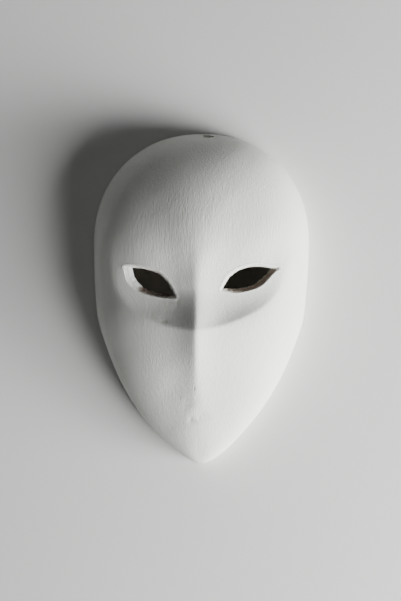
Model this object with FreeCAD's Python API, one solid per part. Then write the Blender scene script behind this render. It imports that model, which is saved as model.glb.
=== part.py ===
import FreeCAD, Part
import math
import os

# A papier-mache face mask, lying face up on its rim.
# Frame: +Z out of the face, +Y to the crown, +X to the viewer's right.
# The rim lies on z = 0 and the origin is the middle of the rim's outline box.

# ---- driving dimensions, mm ------------------------------------------------

# Outline of the rim
MASK_HEIGHT = 240.0        # chin tip to crown
MASK_WIDTH = 156.6         # across the temples

# The levels, the reaches and the eye outlines are drawn for a mask of this height and width, and
# stretch with the mask when its height or width is changed
DRAWN_HEIGHT = 240.0
DRAWN_WIDTH = 156.6

TEMPLE_LEVEL = 41.5        # how far the widest place stands above the middle
CROWN_ROUND = 2.09         # exponent of the crown's superellipse
JAW_START = 2.46           # how slowly the jaw leaves the temples
JAW_TAPER = 0.85           # how straight the jaw runs to the chin
CHIN_TIP_ROUND = 0.2       # how blunt the tip of the chin is
CHEEK_SWELL = 1.2          # slight widening where the cheek line ends
CHEEK_SWELL_LEVEL = -15.6
CHEEK_SWELL_REACH = 15.6
CHIN_SWAY = 2.4            # how far the chin's tip stands to the right
CHIN_SWAY_REACH = 16.0

# Depth of the form
DOME_DEPTH = 57.0          # rim plane to the face, without the relief
DOME_LEVEL = 32.0          # where the form is deepest
BROW_ROUND = 2.0           # how long the forehead keeps its depth
BROW_DROP = 0.45           # how steeply the crown turns to the rim
CHIN_FULL = 2.8            # how long the lower face keeps its depth
CHIN_DROP = 0.29           # how steeply the chin turns to the rim
SIDE_ROUND = 2.8           # exponent of the cross-sections
SKIRT = 8.0                # how far the form runs on below the rim plane

# The lower face leans back towards the chin
LEAN_SLOPE = 0.2
LEAN_START = 10.0
LEAN_SOFT = 20.0

# Facets: the face falls away on both sides of a crest down its middle
FACET_SLOPE = 0.31
FACET_REACH = 13.5
CREST_ROUND = 2.2          # softness of the crest along the nose
CREST_FADE_START = 21.3    # the crest softens above this level
CREST_FADE_RATE = 0.68
CREST_FADE_SOFT = 6.0
CREST_END_LEVEL = -64.0    # and softens again below the nose
CREST_END_RATE = 0.35

# Nose
NOSE_HEIGHT = 8.0
NOSE_HALF_WIDTH = 32.5
NOSE_TOP = 6.7
NOSE_RUN = 28.5            # how far below its top the nose has its full height
NOSE_TIP = -52.5
NOSE_END_SOFT = 7.4

# Cheek line: a crisp edge under the eyes, with a scoop above it
CHEEK_LINE_LEVEL = -21.8
CHEEK_LINE_REACH = 66.0    # where the line turns up to the temple
CHEEK_LINE_RISE = 27.0     # how far it rises from the nose to there
CHEEK_LINE_POWER = 1.75
TEMPLE_TURN_RISE = 26.0    # how much more it rises in its turn to the temple
TEMPLE_TURN_POWER = 10.0
CHEEK_LINE_TILT = 0.035    # the line stands a little lower on the left
SCOOP_DEPTH = 7.0
SCOOP_LENGTH = 9.7
SCOOP_FADE = 40.0
SCOOP_EDGE_SOFT = 0.85
SCOOP_SIDE_LOSS = 0.96     # the scoop runs out towards the temples
SCOOP_SIDE_POWER = 4       # and does so suddenly
SCOOP_NOSE_LOSS = 0.3      # and is shallower across the nose
SCOOP_NOSE_REACH = 14.0
SCOOP_TOP = 15.0           # above this level the scoop runs out into the forehead
SCOOP_TOP_RUN = 40.0

# Mouth hollow
HOLLOW_DEPTH = 0.5
HOLLOW_LEVEL = -84.0
HOLLOW_REACH = 8.0
HOLLOW_HALF_WIDTH = 14.0

# The relief fades out down the side walls
RELIEF_START = 4.0
RELIEF_RISE = 54.0

# Laminate
GESSO = 0.5
FACE_PAPER = 1.0
CORE_PAPER = 1.6
LINING_PAPER = 1.0

# Edging strip folded round the rim
EDGING = 0.7               # thickness under the rim
EDGING_OUTSIDE = 5.0       # how far it stands up outside
EDGING_INSIDE = 6.0        # how far it stands up inside

# Eye openings, cut by hand and so not quite alike. Each runs from its outer corner along the
# upper lid to the inner corner, and back along the lower lid. The lip is the cut's outline on
# the skin and the throat its outline on the inside.
EYE_EDGING = 0.6           # strip that lines the cut
LEFT_LIP_UPPER = [(-51.3, 20.9), (-45.0, 21.3), (-37.0, 20.2),
                  (-28.9, 18.0), (-20.9, 11.4), (-14.8, 0.3)]
LEFT_LIP_LOWER = [(-14.8, 0.3), (-22.8, 0.2), (-31.0, 1.5), (-41.0, 4.6), (-47.6, 9.4), (-51.3, 20.9)]
LEFT_THROAT_UPPER = [(-46.0, 20.6), (-40.4, 20.3), (-34.4, 19.2),
                     (-27.4, 16.9), (-20.9, 10.9), (-15.8, 1.2)]
LEFT_THROAT_LOWER = [(-15.8, 1.2), (-23.1, 2.0), (-30.6, 3.6),
                     (-38.6, 7.8), (-43.6, 13.4), (-46.0, 20.6)]
RIGHT_LIP_UPPER = [(56.2, 21.9), (50.6, 21.8), (43.0, 23.0), (32.1, 21.4), (22.1, 15.3), (16.9, 6.2)]
RIGHT_LIP_LOWER = [(16.9, 6.2), (26.0, 4.6), (35.8, 6.1), (44.7, 10.1), (50.8, 16.6), (56.2, 21.9)]
RIGHT_THROAT_UPPER = [(50.6, 21.4), (45.6, 22.2), (39.4, 22.5), (30.6, 20.6), (22.6, 15.2), (17.8, 7.4)]
RIGHT_THROAT_LOWER = [(17.8, 7.4), (25.0, 6.9), (34.0, 8.1), (41.0, 11.5), (46.6, 16.6), (50.6, 21.4)]

# Hole at the crown
HOLE_RADIUS = 4.2
HOLE_OFFSET = 4.5          # to the right of the middle
HOLE_CLEARANCE = 3.0       # from the hole's middle line down to the edging, beyond its radius

# Net of control points of each surface
TILE_SPANS = 15            # spans of each face, both ways
TILES_ACROSS = 3
TILES_ALONG = 4
FIRST_ROW = 0.62           # how far the end rows stand from the poles, in rows

V = FreeCAD.Vector
DEGREE = 3
STEP = 0.02                # step along the form from which slopes are taken
TURN_STEP = 0.002          # the same across the form, as an angle
TINY = 1e-6                # lengths below this count as nothing
BISECTIONS = 60
NET_ACROSS = TILE_SPANS * TILES_ACROSS + DEGREE
NET_ALONG = TILE_SPANS * TILES_ALONG + DEGREE
SURFACE_DEPTHS = {
    "skin": 0.0,
    "face": GESSO,
    "core": GESSO + FACE_PAPER,
    "lining": GESSO + FACE_PAPER + CORE_PAPER,
    "inside": GESSO + FACE_PAPER + CORE_PAPER + LINING_PAPER,
}
WALL = SURFACE_DEPTHS["inside"]
HOLE_HEIGHT = EDGING_INSIDE + HOLE_RADIUS + HOLE_CLEARANCE
HOLE_CUT = 6 * WALL        # length of the hole's cutter
ALONG = MASK_HEIGHT / DRAWN_HEIGHT
ACROSS = MASK_WIDTH / DRAWN_WIDTH
HALF_HEIGHT = MASK_HEIGHT / 2
HALF_WIDTH = MASK_WIDTH / 2
FULL_DEPTH = DOME_DEPTH + SKIRT
WIDEST = ALONG * TEMPLE_LEVEL             # level of the widest place
DEEPEST = ALONG * DOME_LEVEL              # level of the deepest place

# Cutters of the eye openings
EYE_CUT_DEPTH = WALL + 0.3                # depth at which a cut turns straight
CUTTER_TOP = DOME_DEPTH + FACET_SLOPE * FACET_REACH + NOSE_HEIGHT + WALL
CUTTER_FOOT = DOME_DEPTH / 3

# The form runs on below the rim plane, so its poles stand a little outside the rim
SKIRT_SHARE = SKIRT / FULL_DEPTH
CROWN_SHARE = (1 - SKIRT_SHARE ** (1 / BROW_DROP)) ** (1 / BROW_ROUND)
CHIN_SHARE = (1 - SKIRT_SHARE ** (1 / CHIN_DROP)) ** (1 / CHIN_FULL)
CROWN_POLE = DEEPEST + (HALF_HEIGHT - DEEPEST) / CROWN_SHARE
CHIN_POLE = DEEPEST - (HALF_HEIGHT + DEEPEST) / CHIN_SHARE


def bell(distance, reach):
    """1 in the middle, falling smoothly to 0 beyond the reach."""
    return math.exp(-(distance / reach) ** 2)


def half_width(y):
    """Half-width of the form at level y."""
    if y >= WIDEST:
        t = (y - WIDEST) / (CROWN_POLE - WIDEST)
        w = HALF_WIDTH * max(0.0, 1 - t ** CROWN_ROUND) ** (1 / CROWN_ROUND)
    else:
        t = (WIDEST - y) / (WIDEST - CHIN_POLE)
        left = max(0.0, 1 - t ** JAW_START)
        share = (left ** (2 * JAW_TAPER) + CHIN_TIP_ROUND * left) / (1 + CHIN_TIP_ROUND)
        w = HALF_WIDTH * math.sqrt(share)
    return w + CHEEK_SWELL * bell(y / ALONG - CHEEK_SWELL_LEVEL, CHEEK_SWELL_REACH)


def sway(y):
    """How far the form's middle line stands to the right at level y."""
    return CHIN_SWAY * bell((y + HALF_HEIGHT) / ALONG, CHIN_SWAY_REACH)


def mid_depth(y):
    """Depth of the form's middle line at level y, from the skirt's foot."""
    if y >= DEEPEST:
        t = (y - DEEPEST) / (CROWN_POLE - DEEPEST)
        return FULL_DEPTH * max(0.0, 1 - t ** BROW_ROUND) ** BROW_DROP
    t = (DEEPEST - y) / (DEEPEST - CHIN_POLE)
    return FULL_DEPTH * max(0.0, 1 - t ** CHIN_FULL) ** CHIN_DROP


def form_point(y, turn):
    """Point of the plain form at level y; turn runs from 0, right rim, to pi, left rim."""
    c = math.cos(turn)
    s = math.sin(turn)
    r = (abs(c) ** SIDE_ROUND + abs(s) ** SIDE_ROUND) ** (-1 / SIDE_ROUND)
    return V(half_width(y) * r * c + sway(y), y, mid_depth(y) * r * s - SKIRT)


def cheek_line(x):
    """Level of the cheek line at x, and its slope there."""
    a = abs(x) / CHEEK_LINE_REACH
    side = 1 if x >= 0 else -1
    level = CHEEK_LINE_LEVEL + CHEEK_LINE_RISE * a ** CHEEK_LINE_POWER
    level += TEMPLE_TURN_RISE * a ** TEMPLE_TURN_POWER + CHEEK_LINE_TILT * x
    slope = CHEEK_LINE_RISE * CHEEK_LINE_POWER * a ** (CHEEK_LINE_POWER - 1)
    slope += TEMPLE_TURN_RISE * TEMPLE_TURN_POWER * a ** (TEMPLE_TURN_POWER - 1)
    return level, side * slope / CHEEK_LINE_REACH + CHEEK_LINE_TILT


def soft_step(t):
    """Smooth step from 0 to 1."""
    t = min(1.0, max(0.0, t))
    return t * t * (3 - 2 * t)


def soft_positive(d, soft):
    """d where it is positive and 0 elsewhere, with a rounded corner."""
    return max(d, 0.0) + soft * math.log(1 + math.exp(-abs(d) / soft))


def relief(x, y):
    """Height of the face's relief over the plain form."""
    x /= ACROSS
    y /= ALONG
    crest = CREST_ROUND + CREST_FADE_RATE * soft_positive(y - CREST_FADE_START, CREST_FADE_SOFT)
    crest += CREST_END_RATE * soft_positive(CREST_END_LEVEL - y, CREST_FADE_SOFT)
    across = math.sqrt(x * x + crest * crest) - crest
    facet = FACET_SLOPE * FACET_REACH * (1 - math.tanh(across / FACET_REACH))
    nose_run = soft_step((NOSE_TOP - y) / NOSE_RUN) / (1 + math.exp((NOSE_TIP - y) / NOSE_END_SOFT))
    nose = NOSE_HEIGHT * nose_run * math.exp(-across / NOSE_HALF_WIDTH)
    level, slope = cheek_line(x)
    above = soft_positive((y - level) / math.sqrt(1 + slope * slope), SCOOP_EDGE_SOFT)
    scoop = SCOOP_DEPTH * (1 - math.exp(-above / SCOOP_LENGTH)) * bell(above, SCOOP_FADE)
    scoop *= 1 - SCOOP_SIDE_LOSS * min(1.0, abs(x) / CHEEK_LINE_REACH) ** SCOOP_SIDE_POWER
    scoop *= 1 - SCOOP_NOSE_LOSS * bell(x, SCOOP_NOSE_REACH)
    scoop *= 1 - soft_step((y - SCOOP_TOP) / SCOOP_TOP_RUN)
    hollow = HOLLOW_DEPTH * bell(y - HOLLOW_LEVEL, HOLLOW_REACH) * bell(x, HOLLOW_HALF_WIDTH)
    lean = LEAN_SLOPE * soft_positive(LEAN_START - y, LEAN_SOFT)
    return facet + nose - scoop - hollow - lean


def relief_share(height):
    """How much of the relief shows at a height of the plain form: none at the rim."""
    return soft_step((height - RELIEF_START) / RELIEF_RISE)


def net_levels():
    """Levels of the net's rows, closer together towards both poles."""
    middle = (CROWN_POLE + CHIN_POLE) / 2
    reach = (CROWN_POLE - CHIN_POLE) / 2
    first = FIRST_ROW * math.pi / NET_ALONG
    return [middle - reach * math.cos(first + (math.pi - 2 * first) * j / (NET_ALONG - 1))
            for j in range(NET_ALONG)]


def form_normal(y, turn):
    """Outward normal of the plain form."""
    along = form_point(y + STEP, turn) - form_point(y - STEP, turn)
    across = form_point(y, min(math.pi, turn + TURN_STEP)) - form_point(y, max(0.0, turn - TURN_STEP))
    n = along.cross(across)
    n.normalize()
    return n


def surface_net(depth):
    """Control points of the surface that lies this deep under the skin."""
    levels = net_levels()
    rows = []
    for j, y in enumerate(levels):
        row = []
        for i in range(NET_ACROSS):
            turn = math.pi * i / (NET_ACROSS - 1)
            p = form_point(y, turn)
            rise = relief(p.x, p.y) * relief_share(p.z)
            if j in (0, NET_ALONG - 1):
                n = V(0, -1 if j == 0 else 1, 0)
            else:
                n = form_normal(y, turn)
                if i in (0, NET_ACROSS - 1):
                    n = V(n.x, n.y, 0).normalize()
            q = p + V(0, 0, rise) - n * depth
            if i in (0, NET_ACROSS - 1):
                q.z = -SKIRT
            row.append(q)
        rows.append(row)
    return rows


def clamped(count):
    """Knots and multiplicities of a clamped, evenly spaced row of control points."""
    spans = count - DEGREE
    return list(range(spans + 1)), [DEGREE + 1] + [1] * (spans - 1) + [DEGREE + 1]


def surface_tiles(depth):
    """B-spline faces, each a tile of the surface through the net of one depth."""
    along_knots, along_mults = clamped(NET_ALONG)
    across_knots, across_mults = clamped(NET_ACROSS)
    net = surface_net(depth)
    tiles = []
    for a in range(TILES_ALONG):
        for b in range(TILES_ACROSS):
            surface = Part.BSplineSurface()
            surface.buildFromPolesMultsKnots(net, along_mults, across_mults, along_knots, across_knots,
                                             False, False, DEGREE, DEGREE)
            surface.segment(a * TILE_SPANS, (a + 1) * TILE_SPANS, b * TILE_SPANS, (b + 1) * TILE_SPANS)
            tiles.append(surface.toShape())
    return tiles


def filled_form(depth):
    """Solid between one surface and the skirt's foot."""
    tiles = surface_tiles(depth)
    shell = Part.Shell(tiles)
    shell.sewShape()
    uses = {}
    for tile in shell.Faces:
        for edge in tile.Edges:
            uses.setdefault(edge.hashCode(), []).append(edge)
    border = [edges[0] for edges in uses.values() if len(edges) == 1]
    foot_edges = [e for e in border if e.BoundBox.ZLength < TINY]
    walls = []
    for level in (min(e.BoundBox.YMin for e in border), max(e.BoundBox.YMax for e in border)):
        arch = [e for e in border if abs(e.CenterOfMass.y - level) < TINY]
        ends = [V(min(e.BoundBox.XMin for e in arch), level, -SKIRT),
                V(max(e.BoundBox.XMax for e in arch), level, -SKIRT)]
        base = Part.LineSegment(ends[0], ends[1]).toShape()
        foot_edges.append(base)
        walls.append(Part.Face(Part.Wire(Part.__sortEdges__(arch + [base]))))
    foot = Part.Face(Part.Wire(Part.__sortEdges__(foot_edges)))
    closed = Part.Shell(shell.Faces + [foot] + walls)
    closed.sewShape()
    return Part.Solid(closed)


def skin_height(x, y):
    """Height of the skin over the rim plane at a place on the face."""
    share = min(1.0, abs(x - sway(y)) / half_width(y))
    plain = mid_depth(y) * (1 - share ** SIDE_ROUND) ** (1 / SIDE_ROUND) - SKIRT
    return plain + relief(x, y) * relief_share(plain)


def ring(outer, inner, low, high):
    """Part of the wall between two surfaces and two levels above the rim plane."""
    size = 2 * MASK_HEIGHT
    slab = Part.makeBox(size, size, high - low, V(-size / 2, -size / 2, low))
    return forms[outer].common(slab).cut(forms[inner])


def stretched(*outlines):
    """Eye outlines as drawn, stretched to the mask's height and width."""
    return [[(ACROSS * x, ALONG * y) for x, y in outline] for outline in outlines]


def grown(upper, lower, by):
    """Outline of an eye opening, moved outwards by a distance."""
    loop = upper[:-1] + lower[:-1]
    moved = []
    count = len(loop)
    area = sum(loop[i][0] * loop[(i + 1) % count][1] - loop[(i + 1) % count][0] * loop[i][1]
               for i in range(count))
    side = by if area > 0 else -by
    for i, (x, y) in enumerate(loop):
        before = loop[i - 1]
        after = loop[(i + 1) % count]
        dx = after[0] - before[0]
        dy = after[1] - before[1]
        run = math.hypot(dx, dy)
        moved.append((x + side * dy / run, y - side * dx / run))
    split = len(upper) - 1
    return moved[:split + 1], moved[split:] + moved[:1]


def lid_wire(upper, lower):
    """Closed wire of two smooth edges, along the upper and the lower lid."""
    edges = []
    for points in (upper, lower):
        curve = Part.BSplineCurve()
        curve.interpolate(points)
        edges.append(curve.toShape())
    return Part.Wire(edges)


def eye_cutter(lip_upper, lip_lower, throat_upper, throat_lower, by):
    """Solid that cuts an eye opening: a sloping cut through the wall, and straight on below it."""
    lips = grown(lip_upper, lip_lower, by)
    throats = grown(throat_upper, throat_lower, by)
    above = []
    at_throat = []
    below = []
    for lip, throat in zip(lips, throats):
        above_row = []
        throat_row = []
        below_row = []
        for (lx, ly), (tx, ty) in zip(lip, throat):
            lip_z = skin_height(lx, ly)
            throat_z = skin_height(tx, ty) - EYE_CUT_DEPTH
            grow = (CUTTER_TOP - throat_z) / (lip_z - throat_z)
            above_row.append(V(tx + (lx - tx) * grow, ty + (ly - ty) * grow, CUTTER_TOP))
            throat_row.append(V(tx, ty, throat_z))
            below_row.append(V(tx, ty, CUTTER_FOOT))
        above.append(above_row)
        at_throat.append(throat_row)
        below.append(below_row)
    wires = [lid_wire(*rows) for rows in (above, at_throat, below)]
    return Part.makeLoft(wires, True, True)


def hole_cutter():
    """Cylinder that makes the hanging hole, square to the wall at the crown."""
    low = WIDEST
    high = CROWN_POLE
    for _ in range(BISECTIONS):
        middle = (low + high) / 2
        if skin_height(HOLE_OFFSET, middle) > HOLE_HEIGHT:
            low = middle
        else:
            high = middle
    rise = (skin_height(HOLE_OFFSET, low - STEP) - skin_height(HOLE_OFFSET, low)) / STEP
    axis = V(0, rise, 1).normalize()
    place = V(HOLE_OFFSET, low, HOLE_HEIGHT)
    start = place - axis * (HOLE_CUT / 2)
    return Part.makeCylinder(HOLE_RADIUS, HOLE_CUT, start, axis), place, axis


def without(solid, cutters):
    """The solid with every cutter taken out."""
    for cutter in cutters:
        solid = solid.cut(cutter)
    return solid


os.makedirs("parts", exist_ok=True)

forms = {name: filled_form(depth) for name, depth in SURFACE_DEPTHS.items()}
left_eye = stretched(LEFT_LIP_UPPER, LEFT_LIP_LOWER, LEFT_THROAT_UPPER, LEFT_THROAT_LOWER)
right_eye = stretched(RIGHT_LIP_UPPER, RIGHT_LIP_LOWER, RIGHT_THROAT_UPPER, RIGHT_THROAT_LOWER)
hole, hole_place, hole_axis = hole_cutter()
wide_cutters = [eye_cutter(*left_eye, EYE_EDGING), eye_cutter(*right_eye, EYE_EDGING), hole]
top = 2 * DOME_DEPTH

parts = {
    "gesso_coat": without(ring("skin", "face", EDGING, top), wide_cutters),
    "face_paper": without(ring("face", "core", EDGING_OUTSIDE, top), wide_cutters),
    "core_paper": without(ring("core", "lining", EDGING, top), wide_cutters),
    "lining_paper": without(ring("lining", "inside", EDGING_INSIDE, top), wide_cutters),
}

foot = ring("skin", "inside", 0.0, EDGING)
outer_leg = ring("face", "core", EDGING, EDGING_OUTSIDE)
inner_leg = ring("lining", "inside", EDGING, EDGING_INSIDE)
parts["rim_edging"] = foot.fuse([outer_leg, inner_leg]).removeSplitter()

wall = ring("skin", "inside", EDGING_INSIDE, top)
for name, eye, wide in (("left_eye_edging", left_eye, wide_cutters[0]),
                        ("right_eye_edging", right_eye, wide_cutters[1])):
    parts[name] = wall.common(wide).cut(eye_cutter(*eye, 0.0))

for name, shape in parts.items():
    solids = shape.Solids
    shape = solids[0] if len(solids) == 1 else shape
    print(name, "valid", shape.isValid(), "solids", len(solids), "volume", round(shape.Volume))
    shape.exportStep("parts/" + name + ".step")
print("hanging hole at", hole_place, "axis", hole_axis)
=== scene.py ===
"""Looks of a papier-mache face mask that lies face up on its rim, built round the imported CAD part.

Every layer is a surface worked out from the same few formulas: superellipse sections along the mask,
with the relief of the face laid over them. Lengths are in metres.
"""

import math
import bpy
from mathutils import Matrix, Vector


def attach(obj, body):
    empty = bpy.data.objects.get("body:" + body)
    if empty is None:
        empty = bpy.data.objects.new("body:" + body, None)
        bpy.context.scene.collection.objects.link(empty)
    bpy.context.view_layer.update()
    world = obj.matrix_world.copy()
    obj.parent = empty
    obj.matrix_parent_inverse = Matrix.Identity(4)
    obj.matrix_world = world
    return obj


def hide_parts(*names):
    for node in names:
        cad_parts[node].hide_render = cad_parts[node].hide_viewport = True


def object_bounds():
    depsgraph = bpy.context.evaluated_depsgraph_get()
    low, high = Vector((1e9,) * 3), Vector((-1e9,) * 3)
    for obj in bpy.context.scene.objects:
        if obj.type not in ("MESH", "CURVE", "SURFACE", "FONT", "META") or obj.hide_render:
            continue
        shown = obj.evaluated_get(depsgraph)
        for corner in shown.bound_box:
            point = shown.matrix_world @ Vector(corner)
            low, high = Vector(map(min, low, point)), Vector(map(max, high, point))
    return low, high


bl_info = {
    "name": "Papier-mache face mask",
    "version": (1, 0, 0),
    "blender": (4, 5, 0),
    "location": "3D View > Sidebar > Mask",
    "description": "Gesso coat, paper layers, edging strips and studio of a face mask",
    "category": "Object",
}

import bpy
import numpy as np
from bpy.props import FloatProperty, FloatVectorProperty, IntProperty, PointerProperty
from bpy.types import Operator, Panel, PropertyGroup
from mathutils import Matrix, Vector

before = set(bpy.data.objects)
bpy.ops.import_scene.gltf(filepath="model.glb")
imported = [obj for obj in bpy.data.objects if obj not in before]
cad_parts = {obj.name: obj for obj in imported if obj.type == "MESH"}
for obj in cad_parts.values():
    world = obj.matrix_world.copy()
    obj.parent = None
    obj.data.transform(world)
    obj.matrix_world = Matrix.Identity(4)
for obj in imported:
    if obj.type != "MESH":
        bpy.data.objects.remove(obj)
CAD_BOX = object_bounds()

MM = 0.001
BOX_LOW, BOX_HIGH = (np.array(corner) for corner in CAD_BOX)

# Outlines of the eye openings in millimetres, from the outer corner along the upper lid to the inner
# corner, and back along the lower lid. The lip is on the skin and the throat on the inside.
EYES = {
    "left": {
        "lip": (
            [(-51.3, 20.9), (-45.0, 21.3), (-37.0, 20.2), (-28.9, 18.0), (-20.9, 11.4), (-14.8, 0.3)],
            [(-14.8, 0.3), (-22.8, 0.2), (-31.0, 1.5), (-41.0, 4.6), (-47.6, 9.4), (-51.3, 20.9)]),
        "throat": (
            [(-46.0, 20.6), (-40.4, 20.3), (-34.4, 19.2), (-27.4, 16.9), (-20.9, 10.9), (-15.8, 1.2)],
            [(-15.8, 1.2), (-23.1, 2.0), (-30.6, 3.6), (-38.6, 7.8), (-43.6, 13.4), (-46.0, 20.6)]),
    },
    "right": {
        "lip": (
            [(56.2, 21.9), (50.6, 21.8), (43.0, 23.0), (32.1, 21.4), (22.1, 15.3), (16.9, 6.2)],
            [(16.9, 6.2), (26.0, 4.6), (35.8, 6.1), (44.7, 10.1), (50.8, 16.6), (56.2, 21.9)]),
        "throat": (
            [(50.6, 21.4), (45.6, 22.2), (39.4, 22.5), (30.6, 20.6), (22.6, 15.2), (17.8, 7.4)],
            [(17.8, 7.4), (25.0, 6.9), (34.0, 8.1), (41.0, 11.5), (46.6, 16.6), (50.6, 21.4)]),
    },
}

# Marks left by hand in the gesso, in millimetres: x, y, half-length, half-width, turn, depth.
# The turn is in degrees from the mask's middle line, and a negative depth stands up.
HAND_MARKS = (
    (-22.8, -15.6, 2.4, 1.7, 60, 0.45),
    (-13.6, -3.5, 4.5, 0.9, -12, 0.25),
    (-6.5, -75.0, 5.0, 3.2, -30, 0.30),
    (3.4, -82.4, 6.0, 4.0, 60, 0.35),
    (-3.8, -86.0, 2.6, 1.9, 0, 0.35),
    (-5.5, 24.0, 17.0, 3.8, 4, 0.22),
    (-58.5, 24.5, 6.0, 1.5, 47, 0.30),
    (61.0, 30.0, 9.0, 1.8, -12, 0.22),
    (30.0, 62.0, 22.0, 9.0, 40, 0.18),
    (-34.0, 70.0, 20.0, 10.0, -30, 0.15),
)

# Smaller ones, worked in the finish only, each as a dent in the bump and a painted shade that
# darkens its middle: the notch where the nose ridge ends, nicks round the mouth and scratches
# under the right eye. Same columns.
FINE_MARKS = (
    (-1.2, -62.9, 2.8, 1.0, 0, 0.34),
    (4.6, -81.5, 2.0, 1.5, 20, 0.15),
    (2.2, -83.8, 2.0, 1.4, 0, 0.14),
    (-0.6, -87.0, 3.0, 1.7, 35, 0.17),
    (-3.8, -85.0, 2.6, 1.8, -20, 0.16),
    (-11.5, -70.3, 2.4, 1.8, 0, 0.10),
    (-24.3, -14.2, 2.2, 1.7, 70, 0.14),
    (-21.0, -16.6, 1.8, 1.5, 0, 0.12),
    (36.0, -4.0, 8.0, 0.7, -62, 0.07),
    (41.0, -1.2, 7.0, 0.6, -58, 0.06),
    (33.0, -6.4, 5.0, 0.6, -66, 0.06),
)
GESSO_GRAIN = 0.00031   # height of the brush strokes


# Stretch of the brush strokes' noise along each axis: short across the mask, long down it
FINE_STROKES = (1050, 170, 1050)
BROAD_STROKES = (400, 60, 400)

# Square soft lights: name, place and width in metres
LIGHTS = (
    ("key", (0.98, -0.68, 0.56), 0.80),
    ("side", (1.22, -0.33, 0.26), 0.50),
    ("fill", (-0.4, 0.5, 1.2), 1.2),
)

HALVINGS = 48             # steps of a search by halving
STEP = 0.02 * MM          # small step along the mask, for slopes
TURN_STEP = 0.002         # the same in turn
POLE_GAP = 0.001 * MM     # how close a level may come to the form's ends
FAR = 1.0                 # gap given to points that are nowhere near an opening

LINING_SEED = 11
STRIP_HEIGHT = 0.22 * MM  # what one torn strip adds
STRIP_SINK = 0.55         # how far what is under it shows less
RAGGED = 0.9 * MM         # how uneven its torn edge is
PASTE_REACH = 2.2 * MM    # width of the darker paste inside that edge


# ---- settings ---------------------------------------------------------------------------------

def length(name, value, text):
    """A length setting, in metres."""
    return FloatProperty(name=name, description=text, default=value, unit="LENGTH", precision=5)


def number(name, value, text):
    """A plain number setting."""
    return FloatProperty(name=name, description=text, default=value, precision=3)


def power(name, value, text):
    """The power of a light, in watts."""
    return FloatProperty(name=name, description=text, default=value, unit="POWER")


def colour(name, value, text):
    """A colour setting, linear."""
    return FloatVectorProperty(name=name, description=text, default=value, subtype="COLOR", min=0, max=1)


class MaskOutline(PropertyGroup):
    """Outline of the rim and depth of the plain form."""

    height: length("Height", float(BOX_HIGH[1] - BOX_LOW[1]), "Chin tip to crown")
    rim_width: length("Rim width", float(BOX_HIGH[0] - BOX_LOW[0]), "Across the temples, on the rim plane")
    temple_level: length("Temple level", 0.0415, "Where the mask is widest, above its middle")
    crown_round: number("Crown roundness", 2.09, "Exponent of the crown's superellipse")
    jaw_start: number("Jaw start", 2.46, "How slowly the jaw leaves the temples")
    jaw_taper: number("Jaw taper", 0.85, "How straight the jaw runs to the chin")
    chin_tip_round: number("Chin tip", 0.2, "How blunt the tip of the chin is")
    cheek_swell: length("Cheek swell", 0.0012, "Widening where the cheek line ends")
    cheek_swell_level: length("Swell level", -0.0156, "Level of the widening")
    cheek_swell_reach: length("Swell reach", 0.0156, "Half-height of the widening")
    chin_sway: length("Chin sway", 0.0024, "How far the chin's tip stands to the right")
    chin_sway_reach: length("Sway reach", 0.016, "Height over which the chin sways")
    dome_depth: length("Dome depth", 0.057, "Rim plane to the face, without the relief")
    dome_level: length("Dome level", 0.032, "Where the form is deepest")
    brow_round: number("Brow roundness", 2.0, "How long the forehead keeps its depth")
    brow_drop: number("Brow drop", 0.45, "How steeply the crown turns to the rim")
    chin_full: number("Chin fullness", 2.8, "How long the lower face keeps its depth")
    chin_drop: number("Chin drop", 0.29, "How steeply the chin turns to the rim")
    side_round: number("Side roundness", 2.8, "Exponent of the cross-sections")
    skirt: length("Skirt", 0.008, "How far the form runs on below the rim plane")


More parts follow.
